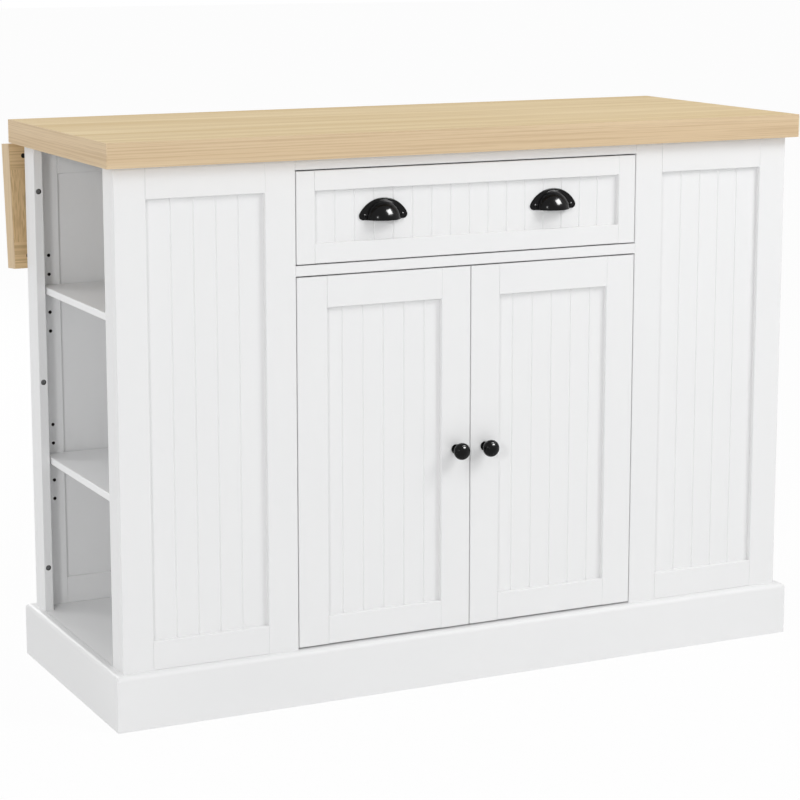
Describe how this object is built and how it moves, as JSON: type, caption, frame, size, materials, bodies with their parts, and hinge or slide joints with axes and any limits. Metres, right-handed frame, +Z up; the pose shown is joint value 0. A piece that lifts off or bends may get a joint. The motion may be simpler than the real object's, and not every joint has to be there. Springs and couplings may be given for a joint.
{
  "type": "drop leaf kitchen island",
  "caption": "Painted kitchen island with open-ended shelf bays, a drawer over a pair of bead-board doors and an oak laminate worktop with a rear drop leaf on stays",
  "frame": {"origin": "on the floor, under the middle of the bounding box with the leaf hanging", "axes": "X along the front, Y from the doors to the leaf, Z up"},
  "size_m": [1.242, 0.5472, 0.915],
  "materials": {
    "white_board": "satin white paint",
    "white_bead": "satin white paint on bead board",
    "oak_top": "light oak laminate",
    "oak_edge": "light oak laminate strip",
    "black_metal": "glossy black enamel",
    "zinc": "bright zinc",
    "steel": "plain steel"
  },
  "bodies": {
    "cabinet": {"top_board": "oak_top", "top_rails": "oak_edge", "top_battens": "oak_edge", "top_edging": "oak_edge", "left_front_frame": "white_board", "left_front_panel": "white_bead", "right_front_frame": "white_board", "right_front_panel": "white_bead", "left_rear_frame": "white_board", "left_rear_panel": "white_bead", "right_rear_frame": "white_board", "right_rear_panel": "white_bead", "back_frame": "white_board", "back_panels": "white_bead", "end_battens": "white_board", "batten_bolts": "steel", "left_divider": "white_board", "right_divider": "white_board", "floor_panel": "white_board", "base_rails": "white_board", "base_bearers": "white_board", "plinth_front": "white_board", "plinth_rear": "white_board", "plinth_left": "white_board", "plinth_right": "white_board", "top_rail": "white_board", "mid_rail": "white_board", "bay_shelves": "white_board", "cabinet_shelf": "white_board", "shelf_pins": "steel", "drawer_runners": "steel", "door_hinge_arms": "steel", "leaf_hinge_plates": "zinc", "leaf_hinge_pins": "steel", "leaf_hinge_screws": "steel", "stay_brackets": "zinc"},
    "leaf": {"leaf_board": "oak_top", "leaf_rails": "oak_edge", "leaf_battens": "oak_edge", "leaf_edging": "oak_edge", "leaf_hinge_flaps": "zinc", "leaf_screws": "steel", "stay_tracks": "zinc"},
    "left_stay": {"left_stay": "zinc"},
    "right_stay": {"right_stay": "zinc"},
    "drawer": {"drawer_front_frame": "white_board", "drawer_front_panel": "white_bead", "drawer_box": "white_board", "drawer_bottom": "white_board", "drawer_slides": "steel", "left_pull": "black_metal", "right_pull": "black_metal"},
    "left_door": {"left_door_frame": "white_board", "left_door_panel": "white_bead", "left_door_cups": "steel", "left_knob": "black_metal"},
    "right_door": {"right_door_frame": "white_board", "right_door_panel": "white_bead", "right_door_cups": "steel", "right_knob": "black_metal"}
  },
  "joints": [
    {"name": "leaf_hinge", "type": "hinge", "parent": "cabinet", "child": "leaf", "pos_m": [0, 0.23437, 0.8755], "axis": [1, 0, 0], "range_deg": [0, 95]},
    {"name": "left_stay_pivot", "type": "hinge", "parent": "cabinet", "child": "left_stay", "pos_m": [-0.334, 0.20987, 0.8155], "axis": [1, 0, 0], "range_deg": [-1, 116.92]},
    {"name": "right_stay_pivot", "type": "hinge", "parent": "cabinet", "child": "right_stay", "pos_m": [0.334, 0.20987, 0.8155], "axis": [1, 0, 0], "range_deg": [-1, 116.92]},
    {"name": "drawer_slide", "type": "slide", "parent": "cabinet", "child": "drawer", "axis": [0, -1, 0], "range_m": [0, 0.28]},
    {"name": "left_door_hinge", "type": "hinge", "parent": "cabinet", "child": "left_door", "pos_m": [-0.3077, -0.24063, 0.39], "axis": [0, 0, 1], "range_deg": [-105, 0]},
    {"name": "right_door_hinge", "type": "hinge", "parent": "cabinet", "child": "right_door", "pos_m": [0.3077, -0.24063, 0.39], "axis": [0, 0, 1], "range_deg": [0, 105]}
  ],
  "couplings": [
    {"joint": "left_stay_pivot", "follows": "leaf_hinge", "ratio": 1.22},
    {"joint": "right_stay_pivot", "follows": "leaf_hinge", "ratio": 1.22}
  ]
}
